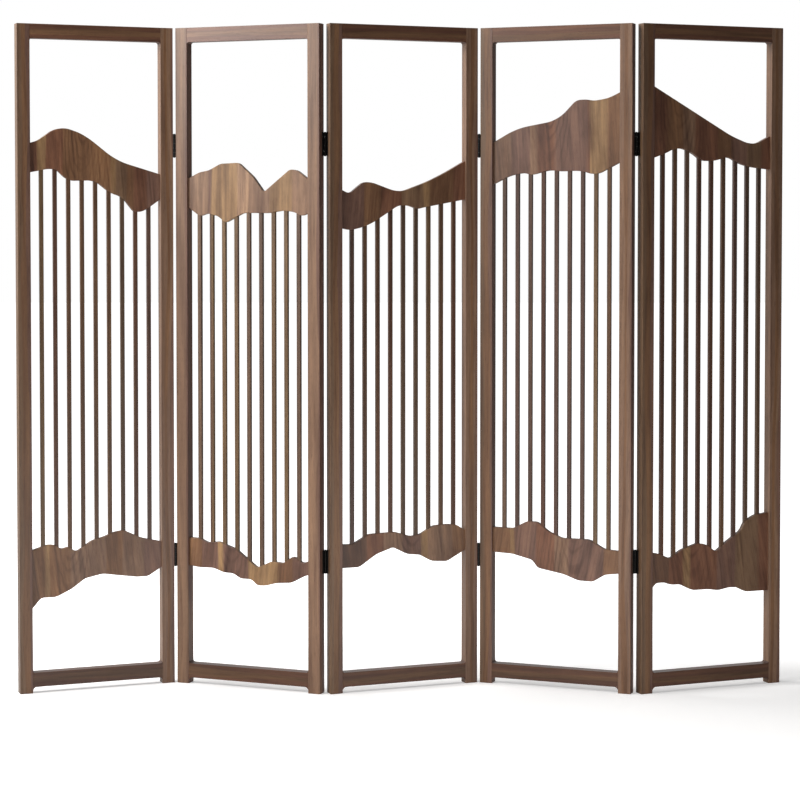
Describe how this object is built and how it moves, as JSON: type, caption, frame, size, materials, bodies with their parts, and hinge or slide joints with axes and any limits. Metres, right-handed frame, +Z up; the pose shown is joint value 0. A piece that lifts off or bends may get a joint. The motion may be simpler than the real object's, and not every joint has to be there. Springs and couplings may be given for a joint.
{
  "type": "folding screen",
  "caption": "Wooden folding screen: hinged panels that fold in a zigzag, each a slender frame with mountain-outlined boards above and below thin upright slats.",
  "frame": {"origin": "on the floor, under the middle of the screen's box in the pictured pose", "axes": "+X along the screen to the right as seen from its front, +Y to the back, +Z up"},
  "size_m": [2.0792, 0.1862, 1.8],
  "materials": {
    "frame_wood": "satin oiled walnut",
    "board_wood": "satin oiled walnut",
    "slat_wood": "satin oiled walnut",
    "hinge_leaf": "satin black",
    "hinge_fastener": "satin black"
  },
  "bodies": {
    "panel_1": {"panel_1_left_stile": "frame_wood", "panel_1_right_stile": "frame_wood", "panel_1_top_rail": "frame_wood", "panel_1_bottom_rail": "frame_wood", "panel_1_upper_board": "board_wood", "panel_1_lower_board": "board_wood", "panel_1_slats": "slat_wood", "panel_1_screws": "hinge_fastener", "joint_1_upper_left_leaf": "hinge_leaf", "joint_1_lower_left_leaf": "hinge_leaf", "joint_1_pins": "hinge_fastener"},
    "panel_2": {"panel_2_left_stile": "frame_wood", "panel_2_right_stile": "frame_wood", "panel_2_top_rail": "frame_wood", "panel_2_bottom_rail": "frame_wood", "panel_2_upper_board": "board_wood", "panel_2_lower_board": "board_wood", "panel_2_slats": "slat_wood", "panel_2_screws": "hinge_fastener", "joint_1_upper_right_leaf": "hinge_leaf", "joint_1_lower_right_leaf": "hinge_leaf", "joint_2_upper_left_leaf": "hinge_leaf", "joint_2_lower_left_leaf": "hinge_leaf", "joint_2_pins": "hinge_fastener"},
    "panel_3": {"panel_3_left_stile": "frame_wood", "panel_3_right_stile": "frame_wood", "panel_3_top_rail": "frame_wood", "panel_3_bottom_rail": "frame_wood", "panel_3_upper_board": "board_wood", "panel_3_lower_board": "board_wood", "panel_3_slats": "slat_wood", "panel_3_screws": "hinge_fastener", "joint_2_upper_right_leaf": "hinge_leaf", "joint_2_lower_right_leaf": "hinge_leaf", "joint_3_upper_left_leaf": "hinge_leaf", "joint_3_lower_left_leaf": "hinge_leaf", "joint_3_pins": "hinge_fastener"},
    "panel_4": {"panel_4_left_stile": "frame_wood", "panel_4_right_stile": "frame_wood", "panel_4_top_rail": "frame_wood", "panel_4_bottom_rail": "frame_wood", "panel_4_upper_board": "board_wood", "panel_4_lower_board": "board_wood", "panel_4_slats": "slat_wood", "panel_4_screws": "hinge_fastener", "joint_3_upper_right_leaf": "hinge_leaf", "joint_3_lower_right_leaf": "hinge_leaf", "joint_4_upper_left_leaf": "hinge_leaf", "joint_4_lower_left_leaf": "hinge_leaf", "joint_4_pins": "hinge_fastener"},
    "panel_5": {"panel_5_left_stile": "frame_wood", "panel_5_right_stile": "frame_wood", "panel_5_top_rail": "frame_wood", "panel_5_bottom_rail": "frame_wood", "panel_5_upper_board": "board_wood", "panel_5_lower_board": "board_wood", "panel_5_slats": "slat_wood", "panel_5_screws": "hinge_fastener", "joint_4_upper_right_leaf": "hinge_leaf", "joint_4_lower_right_leaf": "hinge_leaf"}
  },
  "joints": [
    {"name": "hinge_2", "type": "hinge", "parent": "panel_3", "child": "panel_2", "pos_m": [-0.20865, -0.06527, 0], "axis": [0, 0, 1], "range_deg": [-136.6, 43.4]},
    {"name": "hinge_1", "type": "hinge", "parent": "panel_2", "child": "panel_1", "pos_m": [-0.62596, 0.06527, 0], "axis": [0, 0, 1], "range_deg": [-43.4, 136.6]},
    {"name": "hinge_3", "type": "hinge", "parent": "panel_3", "child": "panel_4", "pos_m": [0.20865, 0.06527, 0], "axis": [0, 0, 1], "range_deg": [-136.6, 43.4]},
    {"name": "hinge_4", "type": "hinge", "parent": "panel_4", "child": "panel_5", "pos_m": [0.62596, -0.06527, 0], "axis": [0, 0, 1], "range_deg": [-43.4, 136.6]}
  ],
  "couplings": [
    {"joint": "hinge_3", "follows": "hinge_2", "ratio": 1}
  ]
}
